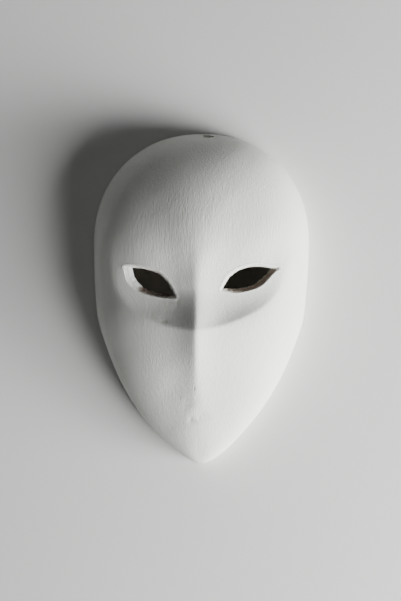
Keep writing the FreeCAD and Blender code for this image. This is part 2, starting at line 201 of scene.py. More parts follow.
class MaskRelief(PropertyGroup):
    """Relief of the face over the plain form."""

    facet_slope: number("Facet slope", 0.31, "Fall of the face on both sides of the crest")
    facet_reach: length("Facet reach", 0.0135, "Distance over which that fall dies away")
    crest_round: length("Crest softness", 0.0019, "Softness of the crest along the nose")
    crest_fade_start: length("Crest fade level", 0.0213, "Level above which the crest softens")
    crest_fade_rate: number("Crest fade rate", 0.68, "How quickly it softens")
    crest_fade_soft: length("Crest fade softness", 0.006, "How gradually that begins")
    crest_end_level: length("Crest end level", -0.064, "Level below which it softens again")
    crest_end_rate: number("Crest end rate", 0.35, "How quickly it softens there")
    nose_height: length("Nose height", 0.008, "Height of the nose over the facets")
    nose_half_width: length("Nose half-width", 0.0325, "Distance over which the nose dies away")
    nose_top: length("Nose top", 0.0067, "Level where the nose begins")
    nose_run: length("Nose run", 0.0285, "How far below that it has its full height")
    nose_tip: length("Nose tip", -0.0525, "Level where the nose ends")
    nose_end_soft: length("Nose end softness", 0.0074, "How gradually it ends")
    cheek_line_level: length("Cheek line level", -0.0218, "Level of the cheek line at the nose")
    cheek_line_reach: length("Cheek line reach", 0.066, "Where the line turns up to the temple")
    cheek_line_rise: length("Cheek line rise", 0.027, "How far it rises to there")
    cheek_line_power: number("Cheek line power", 1.75, "How the rise is shared out")
    temple_turn_rise: length("Temple turn rise", 0.026, "How much more it rises in its turn")
    temple_turn_power: number("Temple turn power", 10.0, "How late that turn comes")
    cheek_line_tilt: number("Cheek line tilt", 0.035, "The line stands lower on the left")
    scoop_depth: length("Scoop depth", 0.007, "Depth of the scoop above the cheek line")
    scoop_length: length("Scoop length", 0.0097, "Distance over which the scoop deepens")
    scoop_fade: length("Scoop fade", 0.04, "Distance over which it runs out")
    scoop_edge_soft: length("Scoop edge softness", 0.0006, "Softness of the cheek line's edge")
    scoop_top: length("Scoop top", 0.015, "Level above which the scoop runs out into the forehead")
    scoop_top_run: length("Scoop top run", 0.04, "Height over which it does so")
    scoop_side_loss: number("Scoop side loss", 0.96, "How much of the scoop is lost at the temples")
    scoop_nose_loss: number("Scoop nose loss", 0.3, "How much of it is lost across the nose")
    scoop_nose_reach: length("Scoop nose reach", 0.014, "Half-width of that loss")
    hollow_depth: length("Mouth hollow depth", 0.0005, "Depth of the mouth hollow")
    hollow_level: length("Mouth hollow level", -0.084, "Its level")
    hollow_reach: length("Mouth hollow reach", 0.008, "Its half-height")
    hollow_half_width: length("Mouth hollow half-width", 0.014, "Its half-width")
    lean_slope: number("Lean slope", 0.2, "How much the lower face leans back")
    lean_start: length("Lean start", 0.01, "Level where the lean begins")
    lean_soft: length("Lean softness", 0.02, "How gradually it begins")
    relief_start: length("Relief start", 0.004, "Height above the rim where the relief begins")
    relief_rise: length("Relief rise", 0.054, "Height over which it comes in")


class MaskLaminate(PropertyGroup):
    """Thicknesses, edging strips, hanging hole and mesh fineness."""

    gesso: length("Gesso", 0.0005, "Thickness of the gesso coat")
    face_paper: length("Face paper", 0.001, "Thickness of the outer paper")
    core_paper: length("Core paper", 0.0016, "Thickness of the core paper")
    lining_paper: length("Lining paper", 0.001, "Thickness of the lining")
    edging: length("Edging", 0.0007, "Thickness of the strip under the rim")
    edging_outside: length("Edging outside", 0.005, "How far it stands up outside")
    edging_inside: length("Edging inside", 0.006, "How far it stands up inside")
    eye_edging: length("Eye edging", 0.0006, "Thickness of the strip in the eye openings")
    eye_gap: length("Eye gap", 0.0003, "Glue line between that strip and the layers")
    hole_radius: length("Hole radius", 0.0042, "Radius of the hanging hole")
    hole_offset: length("Hole offset", 0.0045, "How far the hole stands to the right of the middle")
    hole_height: length("Hole height", 0.0132, "Height of the hole above the rim plane")
    unevenness: length("Unevenness", 0.00004, "Height of the gesso's slow hand-made waves")
    strip_count: IntProperty(name="Lining strips", description="Torn strips of the lining", default=90)
    rows: IntProperty(name="Rows", description="Mesh rows from chin to crown", default=250)
    columns: IntProperty(name="Columns", description="Mesh columns from side to side", default=168)


class MaskFinish(PropertyGroup):
    """Colours of the finishes and brightness of the lights."""

    gesso_colour: colour("Gesso", (0.83, 0.84, 0.795), "Chalky white of the gesso coat")
    gesso_shade: colour("Gesso shade", (0.74, 0.74, 0.69), "Where the coat is thin or handled")
    # Painted shade that darkens the middle of the small dents
    dent_shade_colour: colour("Marks", (0.34, 0.33, 0.30), "Dust caught in small dents")
    # Painted highlight, brighter than the gesso, along the crest of each eye's lip and on the left eye's
    # outer wall
    lip_highlight_colour: colour("Lip", (0.94, 0.945, 0.92), "Fresh white along the lips of the eye openings")
    cut_colour: colour("Cut edge", (0.70, 0.68, 0.61), "Wall of an eye opening, thinly painted")
    # Painted shade for the walls of the lower lids
    wall_shade_colour: colour("Stain", (0.20, 0.15, 0.12), "Bare paper in the wall of an eye opening")
    paper_colour: colour("Paper", (0.62, 0.56, 0.45), "Pasted paper")
    lining_light: colour("Light lining", (0.66, 0.62, 0.52), "Lightest strips of the lining")
    lining_dark: colour("Dark lining", (0.44, 0.38, 0.29), "Darkest strips of the lining")
    floor_colour: colour("Floor", (0.80, 0.80, 0.79), "Plain pale floor")
    key_power: power("Key light", 34.0, "Power of the key light")
    side_power: power("Side light", 34.0, "Power of the low light")
    fill_power: power("Fill light", 0.6, "Power of the fill light")
    world_level: number("Surroundings", 0.05, "Brightness of the even light all round")


# ---- formulas of the form ---------------------------------------------------------------------

def bell(distance, reach):
    """1 in the middle, falling smoothly to 0: exp of minus the squared share of the reach."""
    return np.exp(-(distance / reach) ** 2)


def soft_step(t):
    """Smooth step from 0 to 1: t squared times (3 - 2t)."""
    t = np.clip(t, 0, 1)
    return t * t * (3 - 2 * t)


def soft_positive(d, soft):
    """d where it is positive and 0 elsewhere, with a rounded corner: log of 1 plus exp."""
    return soft * np.logaddexp(0, d / soft)


def slow_waves(points, seed, short, long, count=26):
    """Gentle unevenness: a sum of sine waves with random directions, lengths and phases."""
    rng = np.random.default_rng(seed)
    total = 0
    for _ in range(count):
        direction = rng.normal(size=3)
        direction *= 2 * math.pi / rng.uniform(short, long) / np.linalg.norm(direction)
        total = total + np.sin(points @ direction + rng.uniform(0, 2 * math.pi))
    return total * math.sqrt(2 / count)


class Form:
    """The mask's surfaces, as functions of the level y and of the turn from the right rim (0) over
    the face to the left rim (pi)."""

    def __init__(self, scene):
        self.size = scene.mask_outline
        self.face = scene.mask_relief
        self.layers = scene.mask_laminate
        size = self.size
        self.full_depth = size.dome_depth + size.skirt
        rim_share = size.skirt / self.full_depth
        crown_share = (1 - rim_share ** (1 / size.brow_drop)) ** (1 / size.brow_round)
        chin_share = (1 - rim_share ** (1 / size.chin_drop)) ** (1 / size.chin_full)
        self.crown_pole = size.dome_level + (size.height / 2 - size.dome_level) / crown_share
        self.chin_pole = size.dome_level - (size.height / 2 + size.dome_level) / chin_share
        self.half_span = size.rim_width / 2 / (1 - rim_share ** size.side_round) ** (1 / size.side_round)
        layers = self.layers
        self.wall = layers.gesso + layers.face_paper + layers.core_paper + layers.lining_paper

    def half_width(self, y):
        """Half-width at a level: a superellipse above the temples, a blunted power curve below."""
        size = self.size
        up = np.clip((y - size.temple_level) / (self.crown_pole - size.temple_level), 0, 1)
        down = np.clip((size.temple_level - y) / (size.temple_level - self.chin_pole), 0, 1)
        above = (1 - up ** size.crown_round) ** (1 / size.crown_round)
        left = 1 - down ** size.jaw_start
        blunt = size.chin_tip_round
        below = np.sqrt((left ** (2 * size.jaw_taper) + blunt * left) / (1 + blunt))
        share = np.where(y >= size.temple_level, above, below)
        swell = size.cheek_swell * bell(y - size.cheek_swell_level, size.cheek_swell_reach)
        return self.half_span * share + swell

    def sway(self, y):
        """How far the middle line stands to the right at a level: a bell at the chin's tip."""
        return self.size.chin_sway * bell(y + self.size.height / 2, self.size.chin_sway_reach)

    def mid_depth(self, y):
        """Depth of the middle line from the skirt's foot: (1 - t^round)^drop, above and below."""
        size = self.size
        up = np.clip((y - size.dome_level) / (self.crown_pole - size.dome_level), 0, 1)
        down = np.clip((size.dome_level - y) / (size.dome_level - self.chin_pole), 0, 1)
        above = (1 - up ** size.brow_round) ** size.brow_drop
        below = (1 - down ** size.chin_full) ** size.chin_drop
        return self.full_depth * np.where(y >= size.dome_level, above, below)

    def plain(self, y, turn):
        """Point of the plain form: a superellipse section of the level's width and depth."""
        c = np.cos(turn)
        s = np.sin(turn)
        n = self.size.side_round
        r = (np.abs(c) ** n + np.abs(s) ** n) ** (-1 / n)
        x = self.half_width(y) * r * c + self.sway(y)
        return np.stack([x, y + 0 * turn, self.mid_depth(y) * r * s - self.size.skirt], -1)

    def plain_normal(self, y, turn):
        """Outward normal of the plain form, from small differences along and across it."""
        low = np.maximum(y - STEP, self.chin_pole + POLE_GAP)
        high = np.minimum(y + STEP, self.crown_pole - POLE_GAP)
        along = self.plain(high, turn) - self.plain(low, turn)
        across = self.plain(y, turn + TURN_STEP) - self.plain(y, turn - TURN_STEP)
        normal = np.cross(along, across)
        return normal / np.linalg.norm(normal, axis=-1, keepdims=True)

    def cheek_line(self, x):
        """Level of the cheek line at x and its slope there: two powers of the share of its reach."""
        face = self.face
        a = np.abs(x) / face.cheek_line_reach
        level = face.cheek_line_level + face.cheek_line_rise * a ** face.cheek_line_power
        level = level + face.temple_turn_rise * a ** face.temple_turn_power + face.cheek_line_tilt * x
        slope = face.cheek_line_rise * face.cheek_line_power * a ** (face.cheek_line_power - 1)
        slope = slope + face.temple_turn_rise * face.temple_turn_power * a ** (face.temple_turn_power - 1)
        return level, np.sign(x) * slope / face.cheek_line_reach + face.cheek_line_tilt

    def relief(self, x, y):
        """Height of the face's relief: facets and nose along a crest, less the scoop over the
        cheek line, the mouth hollow and the lean of the lower face."""
        face = self.face
        over = soft_positive(y - face.crest_fade_start, face.crest_fade_soft)
        under = soft_positive(face.crest_end_level - y, face.crest_fade_soft)
        crest = face.crest_round + face.crest_fade_rate * over + face.crest_end_rate * under
        across = np.sqrt(x * x + crest * crest) - crest
        facet = face.facet_slope * face.facet_reach * (1 - np.tanh(across / face.facet_reach))
        ended = 1 + np.exp((face.nose_tip - y) / face.nose_end_soft)
        run = soft_step((face.nose_top - y) / face.nose_run) / ended
        nose = face.nose_height * run * np.exp(-across / face.nose_half_width)
        level, slope = self.cheek_line(x)
        above = soft_positive((y - level) / np.sqrt(1 + slope * slope), face.scoop_edge_soft)
        scoop = face.scoop_depth * (1 - np.exp(-above / face.scoop_length)) * bell(above, face.scoop_fade)
        scoop = scoop * (1 - face.scoop_side_loss * np.minimum(1, np.abs(x) / face.cheek_line_reach) ** 4)
        scoop = scoop * (1 - soft_step((y - face.scoop_top) / face.scoop_top_run))
        scoop = scoop * (1 - face.scoop_nose_loss * bell(x, face.scoop_nose_reach))
        hollow = face.hollow_depth * bell(y - face.hollow_level, face.hollow_reach)
        hollow = hollow * bell(x, face.hollow_half_width)
        lean = face.lean_slope * soft_positive(face.lean_start - y, face.lean_soft)
        return facet + nose - scoop - hollow - lean

    def relief_share(self, z):
        """How much of the relief shows at a height of the plain form: none at the rim."""
        return soft_step((z - self.face.relief_start) / self.face.relief_rise)

    def surface(self, y, turn, depth):
        """Point of the surface that lies this deep under the skin, along the plain form's normal."""
        p = self.plain(y, turn)
        p[..., 2] += self.relief(p[..., 0], p[..., 1]) * self.relief_share(p[..., 2])
        if depth:
            p = p - self.plain_normal(y, turn) * depth
        return p

    def skin_height(self, x, y):
        """Height of the skin at a place on the face, with its hand-made unevenness."""
        share = np.minimum(1, np.abs(x - self.sway(y)) / self.half_width(y))
        n = self.size.side_round
        z = self.mid_depth(y) * (1 - share ** n) ** (1 / n) - self.size.skirt
        z = z + self.relief(x, y) * self.relief_share(z)
        return z + self.hand_made(np.stack([x, y, z], -1))

    def hand_made(self, points):
        """Unevenness of the gesso: slow waves and the marks left by hand."""
        total = self.layers.unevenness * slow_waves(points, 5, 0.012, 0.045)
        for x, y, half_length, half_width, turn, depth in HAND_MARKS:
            c = math.cos(math.radians(turn))
            s = math.sin(math.radians(turn))
            dx = points[..., 0] - x * MM
            dy = points[..., 1] - y * MM
            along = bell(c * dy - s * dx, half_length * MM)
            across = bell(c * dx + s * dy, half_width * MM)
            total = total - depth * MM * along * across
        return total * soft_step((points[..., 2] - 1 * MM) / (5 * MM))

    def end_level(self, depth, low, crown):
        """Level at which the surface's middle line comes down to a height, found by halving."""
        inner = self.size.dome_level
        outer = (self.crown_pole if crown else self.chin_pole) * 0.99999
        for _ in range(HALVINGS):
            middle = (inner + outer) / 2
            if self.surface(np.array([middle]), np.array([math.pi / 2]), depth)[0, 2] > low:
                inner = middle
            else:
                outer = middle
        return inner

    def start_turn(self, levels, depth, low):
        """Turn at which each level's section comes up to a height on the right, found by halving."""
        inner = np.full(len(levels), math.pi / 2)
        outer = np.zeros(len(levels))
        for _ in range(HALVINGS):
            middle = (inner + outer) / 2
            above = self.surface(levels, middle, depth)[:, 2] > low
            inner = np.where(above, middle, inner)
            outer = np.where(above, outer, middle)
        return inner

    def levels(self, shares, depth, low):
        """Levels from the chin to the crown, at shares of the way."""
        chin = self.end_level(depth, low, False)
        crown = self.end_level(depth, low, True)
        return chin + (crown - chin) * shares

    def sheet(self, rows, columns, depth, low):
        """Grid of points over the whole face, from a height above the rim plane upwards."""
        levels = self.levels(rows, depth, low)
        first = self.start_turn(levels, depth, low)
        first[[0, -1]] = math.pi / 2
        turns = math.pi / 2 - columns * (math.pi / 2 - first[:, None])
        return self.surface(np.broadcast_to(levels[:, None], turns.shape), turns, depth)

    def rim_loop(self, depth, height, count):
        """Closed loop of the surface at a height: up the right side and down the left."""
        shares = (1 - np.cos(np.linspace(0, math.pi, count))) / 2
        levels = self.levels(shares, depth, height)
        right = self.surface(levels, self.start_turn(levels, depth, height), depth)
        middle = self.sway(right[:, 1])
        right[[0, -1], 0] = middle[[0, -1]]
        left = right.copy()
        left[:, 0] = 2 * middle - right[:, 0]
        return np.concatenate([right, left[-2:0:-1]])


def uneven_shares(count, density):
    """Shares from 0 to 1, closer together where the density is greater."""
    fine = np.linspace(0, 1, 4001)
    total = np.cumsum(density(fine))
    total = (total - total[0]) / (total[-1] - total[0])
    return np.interp(np.linspace(0, 1, count), total, fine)


def row_shares(count):
    """Rows close together round the eyes and the cheek line and towards both ends."""
    def density(t):
        return 1 / np.sqrt(1.03 - (2 * t - 1) ** 2) + 1.5 * bell(t - 0.49, 0.16)
    return uneven_shares(count, density)


def column_shares(count):
    """Columns from -1 to 1, close together along the crest."""
    def density(t):
        return 1 + 2.2 * bell(t - 0.5, 0.03) + 0.5 * bell(t - 0.5, 0.3)
    return 2 * uneven_shares(count, density) - 1


# ---- openings ---------------------------------------------------------------------------------

def smooth_lid(points, count):
    """Natural cubic spline through the points, by chord length: no bend at its two ends."""
    p = np.array(points) * MM
    t = np.r_[0, np.cumsum(np.linalg.norm(np.diff(p, axis=0), axis=1))]
    h = np.diff(t)
    last = len(p) - 1
    rows = np.eye(last + 1)
    right = np.zeros_like(p)
    for i in range(1, last):
        rows[i, i - 1:i + 2] = h[i - 1], 2 * (h[i - 1] + h[i]), h[i]
        right[i] = 6 * ((p[i + 1] - p[i]) / h[i] - (p[i] - p[i - 1]) / h[i - 1])
    bend = np.linalg.solve(rows, right)
    u = np.linspace(0, t[-1], count)
    k = np.clip(np.searchsorted(t, u, side="right") - 1, 0, last - 1)
    before = (u - t[k])[:, None]
    after = (t[k + 1] - u)[:, None]
    span = h[k][:, None]
    curve = (bend[k] * after ** 3 + bend[k + 1] * before ** 3) / (6 * span)
    curve += (p[k] / span - bend[k] * span / 6) * after
    return curve + (p[k + 1] / span - bend[k + 1] * span / 6) * before


def lid_loop(lids, count):
    """Closed outline of an opening, along the upper and the lower lid."""
    upper = smooth_lid(lids[0], count)
    lower = smooth_lid(lids[1], count)
    return np.concatenate([upper[:-1], lower[:-1]])


def outward(loop, smooth=3):
    """Unit normals of a closed outline in its plane, away from its middle, blended at corners."""
    along = np.roll(loop, -1, 0) - np.roll(loop, 1, 0)
    along /= np.linalg.norm(along, axis=1, keepdims=True)
    normal = np.stack([along[:, 1], -along[:, 0]], 1)
    if ((loop - loop.mean(0)) * normal).sum() < 0:
        normal = -normal
    blend = sum(np.roll(normal, k, 0) for k in range(-smooth, smooth + 1))
    return blend / np.linalg.norm(blend, axis=1, keepdims=True)


class EyeCut:
    """An eye opening: its outline runs from the lip on the skin to the throat on the inside."""

    def __init__(self, form, side, count=120):
        self.form = form
        self.lip = lid_loop(EYES[side]["lip"], count)
        self.throat = lid_loop(EYES[side]["throat"], count)
        self.lip_out = outward(self.lip)
        self.throat_out = outward(self.throat)

    def outline(self, depth, grow):
        """Outline at a depth under the skin, moved outwards."""
        share = depth / self.form.wall
        lip = self.lip + self.lip_out * grow
        throat = self.throat + self.throat_out * grow
        return lip + (throat - lip) * share

    def meet(self, points, normals, depth):
        """Signed gap of each point to the outline, and the nearest place on it in the surface."""
        loop = self.outline(depth, self.form.layers.eye_edging + self.form.layers.eye_gap)
        gap = np.full(len(points), FAR)
        place = points.copy()
        reach = 4 * MM
        near = np.all((points[:, :2] > loop.min(0) - reach) & (points[:, :2] < loop.max(0) + reach), axis=1)
        near &= points[:, 2] > 10 * MM
        p = points[near, :2]
        a = loop
        ab = np.roll(loop, -1, 0) - a
        t = np.clip(((p[:, None] - a) * ab).sum(-1) / (ab * ab).sum(-1), 0, 1)
        foot = a + ab * t[..., None]
        distance = np.linalg.norm(p[:, None] - foot, axis=-1)
        best = distance.argmin(1)
        pick = np.arange(len(p))
        y = p[:, 1, None]
        spans = (a[:, 1] > y) != (a[:, 1] + ab[:, 1] > y)
        with np.errstate(divide="ignore", invalid="ignore"):
            crossing = a[:, 0] + (y - a[:, 1]) / ab[:, 1] * ab[:, 0]
        inside = (spans & (p[:, 0, None] < crossing)).sum(1) % 2 == 1
        gap[near] = np.where(inside, -1, 1) * distance[pick, best]
        move = foot[pick, best] - p
        place[near, :2] += move
        place[near, 2] -= (normals[near, :2] * move).sum(1) / normals[near, 2]
        return gap, place


class HangingHole:
    """The round hole at the crown, square to the wall."""

    def __init__(self, form):
        layers = form.layers
        x = np.array([layers.hole_offset])
        low = form.size.temple_level
        high = form.crown_pole

        def skin_at(level):
            return form.skin_height(x, np.array([level]))[0]

        for _ in range(HALVINGS):
            middle = (low + high) / 2
            if skin_at(middle) > layers.hole_height:
                low = middle
            else:
                high = middle
        rise = (skin_at(low - STEP) - skin_at(low)) / STEP
        self.axis = np.array([0, rise, 1]) / math.hypot(rise, 1)
        self.centre = np.array([layers.hole_offset, low, layers.hole_height])
        self.radius = layers.hole_radius

    def nearness(self, points):
        """1 on the hole's wall, falling to 0 a little outside it."""
        from_centre = points - self.centre
        radial = from_centre - (from_centre @ self.axis)[:, None] * self.axis
        return 1 - soft_step((np.linalg.norm(radial, axis=1) - self.radius) / (0.5 * MM))

    def meet(self, points, normals, depth):
        """Signed gap of each point to the hole's wall, and the nearest place on the wall."""
        from_centre = points - self.centre
        along = (from_centre @ self.axis)[:, None] * self.axis
        radial = from_centre - along
        distance = np.linalg.norm(radial, axis=1)
        near = (distance < 3 * self.radius) & (np.linalg.norm(along, axis=1) < 4 * self.radius)
        gap = np.where(near, distance - self.radius, FAR)
        place = self.centre + along + radial * (self.radius / np.maximum(distance, 1e-9))[:, None]
        return gap, np.where(near[:, None], place, points)


# ---- meshes -----------------------------------------------------------------------------------

def grid_quads(rows, columns):
    """Corners of a grid's squares. Each end row is a single point."""
    index = np.arange(rows * columns).reshape(rows, columns)
    index[0] = 0
    index[-1] = index[-1, 0]
    return np.stack([index[:-1, :-1], index[1:, :-1], index[1:, 1:], index[:-1, 1:]], -1).reshape(-1, 4)


def grid_normals(grid):
    """Unit normals of a grid of points, from the differences between its neighbours. They may
    point to either side of the sheet."""
    normal = np.cross(np.gradient(grid, axis=0), np.gradient(grid, axis=1))
    return normal / np.maximum(np.linalg.norm(normal, axis=-1, keepdims=True), 1e-12)


def outward_z(normals):
    """The normals of a whole sheet, turned over if on the whole they point down, into the mask."""
    return normals if normals[..., 2].mean() > 0 else -normals


def cut_layer(form, outer, inner, depths, cutters):
    """Closed layer between two grids, with openings. The corners nearest to an opening's outline
    are moved on to it, the squares inside are dropped, and a wall joins the two grids."""
    rows, columns = outer.shape[:2]
    sheets = [outer.reshape(-1, 3).copy(), inner.reshape(-1, 3).copy()]
    normals = [grid_normals(g).reshape(-1, 3) for g in (outer, inner)]
    inside = np.zeros(rows * columns, bool)
    moved = np.zeros(rows * columns, bool)
    quads = grid_quads(rows, columns)
    pairs = np.concatenate([quads[:, [0, 1]], quads[:, [1, 2]], quads[:, [2, 3]], quads[:, [3, 0]]])
    for cutter in cutters:
        gap, place = cutter.meet(sheets[0], normals[0], depths[0])
        _, inner_place = cutter.meet(sheets[1], normals[1], depths[1])
        a, b = pairs[(gap[pairs[:, 0]] < 0) != (gap[pairs[:, 1]] < 0)].T
        nearer = np.unique(np.where(np.abs(gap[a]) <= np.abs(gap[b]), a, b))
        sheets[0][nearer] = place[nearer]
        sheets[1][nearer] = inner_place[nearer]
        moved[nearer] = True
        gap[nearer] = 0
        inside |= gap < 0
    flip = inside[quads[:, 0]] | inside[quads[:, 2]]
    quads[flip] = np.roll(quads[flip], 1, axis=1)
    triangles = np.concatenate([quads[:, [0, 1, 2]], quads[:, [0, 2, 3]]])
    whole = (triangles[:, 0] != triangles[:, 1]) & (triangles[:, 1] != triangles[:, 2])
    whole &= triangles[:, 2] != triangles[:, 0]
    whole &= ~inside[triangles].any(1) & ~moved[triangles].all(1)
    triangles = triangles[whole][:, ::-1]
    return close_shell(sheets[0], sheets[1], triangles)


def close_shell(outer, inner, triangles):
    """The outer sheet, the inner sheet turned over, and a wall along every edge that is used once."""
    count = len(outer)
    edges = np.concatenate([triangles[:, [0, 1]], triangles[:, [1, 2]], triangles[:, [2, 0]]])
    code = edges[:, 0] * count + edges[:, 1]
    border = edges[~np.isin(edges[:, 1] * count + edges[:, 0], code)]
    i, j = border.T
    walls = np.concatenate([np.stack([j, i, i + count], 1), np.stack([j, i + count, j + count], 1)])
    faces = np.concatenate([triangles, triangles[:, ::-1] + count, walls])
    points = np.concatenate([outer, inner])
    used, faces = np.unique(faces, return_inverse=True)
    return points[used], faces.reshape(-1, 3), used


def tube_faces(rings, around):
    """Faces of a closed profile carried round a closed loop."""
    a = np.arange(rings)[:, None] * around + np.arange(around)
    b = np.roll(a, -1, axis=0)
    return np.stack([a, np.roll(a, -1, axis=1), np.roll(b, -1, axis=1), b], -1).reshape(-1, 4)


def turned_out(points, faces):
    """The faces of a closed surface, turned over if the volume that they enclose is negative."""
    corner = points[faces]
    fans = range(1, faces.shape[1] - 1)
    volume = sum((corner[:, 0] * np.cross(corner[:, k], corner[:, k + 1])).sum() for k in fans)
    return faces if volume > 0 else faces[:, ::-1]


def make_piece(name, points, faces, finish, node, values=None):
    """A mesh object at the origin that stands for a CAD node. Values are stored per corner point."""
    faces = turned_out(points, faces)
    mesh = bpy.data.meshes.new(name)
    mesh.from_pydata(points.tolist(), [], faces.tolist())
    mesh.polygons.foreach_set("use_smooth", np.ones(len(mesh.polygons), bool))
    mesh.set_sharp_from_angle(angle=math.radians(50))
    for key, array in (values or {}).items():
        mesh.attributes.new(key, "FLOAT", "POINT").data.foreach_set("value", np.asarray(array, np.float32))
    mesh.materials.append(finish)
    mesh.update()
    piece = bpy.data.objects.new(name, mesh)
    bpy.context.scene.collection.objects.link(piece)
    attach(piece, "root")
    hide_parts(node)
    return piece


# ---- finishes ---------------------------------------------------------------------------------

class Wire:
    """A socket that takes part in Python sums: every sign adds a Math node."""

    def __init__(self, finish, socket):
        self.finish = finish
        self.socket = socket

    def math(self, operation, first, second):
        return self.finish.node("ShaderNodeMath", {"operation": operation}, {0: first, 1: second})

    def __add__(self, other):
        return self.math("ADD", self, other)

    def __radd__(self, other):
        return self.math("ADD", other, self)

    def __sub__(self, other):
        return self.math("SUBTRACT", self, other)

    def __rsub__(self, other):
        return self.math("SUBTRACT", other, self)

    def __mul__(self, other):
        return self.math("MULTIPLY", self, other)

    def __rmul__(self, other):
        return self.math("MULTIPLY", other, self)


class Finish:
    """A material whose nodes are all added by one method."""

    def __init__(self, name):
        self.material = bpy.data.materials.new(name)
        self.material.use_nodes = True
        self.tree = self.material.node_tree
        self.tree.nodes.clear()
        self.place = self.node("ShaderNodeTexCoord", output="Object")

    def node(self, kind, settings=None, inputs=None, output=0):
        """Adds a node: its settings first, then the values or wires of its sockets."""
        node = self.tree.nodes.new(kind)
        for key, value in (settings or {}).items():
            setattr(node, key, value)
        for key, value in (inputs or {}).items():
            if isinstance(value, Wire):
                self.tree.links.new(value.socket, node.inputs[key])
            else:
                node.inputs[key].default_value = value
        return Wire(self, node.outputs[output])

    def vector(self, operation, first, second):
        """A sum on two vectors."""
        return self.node("ShaderNodeVectorMath", {"operation": operation}, {0: first, 1: second})

    def stretched(self, stretch):
        """Object coordinates, stretched along each axis."""
        return self.vector("MULTIPLY", self.place, stretch)

    def noise(self, vector, scale=1.0, detail=2.0, rough=0.5):
        """Cloudy noise between 0 and 1."""
        inputs = {"Vector": vector, "Scale": scale, "Detail": detail, "Roughness": rough}
        return self.node("ShaderNodeTexNoise", inputs=inputs, output="Fac")

    def stored(self, name):
        """A value stored in the mesh."""
        return self.node("ShaderNodeAttribute", {"attribute_name": name}, output="Fac")

    def ranged(self, value, low, high, start=0.0, end=1.0):
        """A value carried smoothly from one range to another, and held at its ends."""
        settings = {"interpolation_type": "SMOOTHSTEP"}
        inputs = {"Value": value, "From Min": low, "From Max": high, "To Min": start, "To Max": end}
        return self.node("ShaderNodeMapRange", settings, inputs, output="Result")

    def dent(self, x, y, half_length, half_width, turn):
        """A small oval dent on the face, in mm: 1 in its middle, 0 outside it."""
        offset = self.vector("SUBTRACT", self.place, (x * MM, y * MM, 0))
        turned = self.node("ShaderNodeVectorRotate", {"rotation_type": "Z_AXIS"},
                           {"Vector": offset, "Angle": -math.radians(turn)})
        scale = (1 / (half_width * MM), 1 / (half_length * MM), 0)
        scaled = self.vector("MULTIPLY", turned, scale)
        away = self.node("ShaderNodeVectorMath", {"operation": "LENGTH"}, {0: scaled}, output=1)
        return self.ranged(away, 0.0, 1.0, 1.0, 0.0)

    def blend(self, factor, first, second):
        """Mix of two colours."""
        inputs = {0: factor, 6: as_colour(first), 7: as_colour(second)}
        return self.node("ShaderNodeMix", {"data_type": "RGBA"}, inputs, output=2)

    def end(self, base, rough, height=None, distance=0.0):
        """Joins colour, roughness and bump to the shader."""
        inputs = {"Base Color": as_colour(base), "Roughness": rough, "Specular IOR Level": 0.35}
        if height is not None:
            inputs["Normal"] = self.node("ShaderNodeBump", inputs={"Height": height, "Distance": distance})
        shader = self.node("ShaderNodeBsdfPrincipled", inputs=inputs)
        out = self.tree.nodes.new("ShaderNodeOutputMaterial")
        self.tree.links.new(shader.socket, out.inputs["Surface"])
        return self.material


def as_colour(value):
    """A colour with its alpha, or a wire as it is."""
    return value if isinstance(value, Wire) else (*value[:3], 1.0)


def brush_strokes(finish):
    """Height of fine strokes down the mask, slanting where the scoop turns: long thin noise."""
    level = finish.node("ShaderNodeSeparateXYZ", inputs={0: finish.place}, output="Y")
    slant = finish.ranged(level, -0.026, 0.022, 0.0, 0.014)
    wander = finish.noise(finish.place, 55.0, 1.0) * 0.0016
    shift = finish.node("ShaderNodeCombineXYZ", inputs={0: slant + wander, 2: wander})
    bent = finish.vector("ADD", finish.place, shift)
    fine = finish.vector("MULTIPLY", bent, FINE_STROKES)
    broad = finish.vector("MULTIPLY", bent, BROAD_STROKES)
    return finish.noise(fine, detail=2.0) * 0.6 + finish.noise(broad, detail=2.0) * 0.35


def gesso_finish(scene):
    """Matt white gesso: brush strokes, a fine chalky grain, small marks darkened with painted shade and
    slightly thin patches.
    """
    look = scene.mask_finish
    finish = Finish("gesso_white")
    strokes = brush_strokes(finish)
    grain = finish.noise(finish.place, 900.0, 3.0, 0.6)
    patches = finish.noise(finish.place, 28.0, 4.0, 0.55)
    streaks = finish.noise(finish.stretched((260, 26, 260)), detail=3.0)
    thin = finish.ranged(patches * 0.6 + streaks * 0.4, 0.46, 0.72, 0.0, 0.35)
    base = finish.blend(thin, look.gesso_colour, look.gesso_shade)
    rough = finish.ranged(strokes, 0.3, 0.65, 0.58, 0.74)
    height = strokes + grain * 0.35
    for x, y, half_length, half_width, turn, depth in FINE_MARKS:
        dent = finish.dent(x, y, half_length, half_width, turn)
        height = height - dent * (0.5 * depth * MM / GESSO_GRAIN)
        # Painted shade: the colour darkens towards the middle of each small dent
        base = finish.blend(dent * (1.6 * depth), base, look.dent_shade_colour)
    return finish.end(base, rough, height, GESSO_GRAIN)


def cut_finish(scene):
    """Painted edging: gesso on the lip with a painted highlight along its crest, and thinly painted paper
    down the wall with painted shade on the lower lids.
    """
    look = scene.mask_finish
    finish = Finish("edging_painted")
    wall = finish.stored("wall")
    stain = finish.stored("stain")
    blotch = finish.noise(finish.place, 420.0, 4.0, 0.6)
    grain = finish.noise(finish.place, 1100.0, 3.0, 0.6)
    # Painted highlight along the crests of the lips and on the left eye's outer wall
    lip = finish.blend(finish.stored("crisp"), look.gesso_colour, look.lip_highlight_colour)
    painted = finish.blend(finish.ranged(wall, 0.15, 0.75), lip, look.cut_colour)
    # Painted shade, broken into blotches, over the walls of the lower lids
    bare = finish.ranged(stain + blotch * 0.5, 0.42, 0.88)
    base = finish.blend(bare, painted, look.wall_shade_colour)
    return finish.end(base, 0.72, blotch + grain * 0.5, 0.00045)


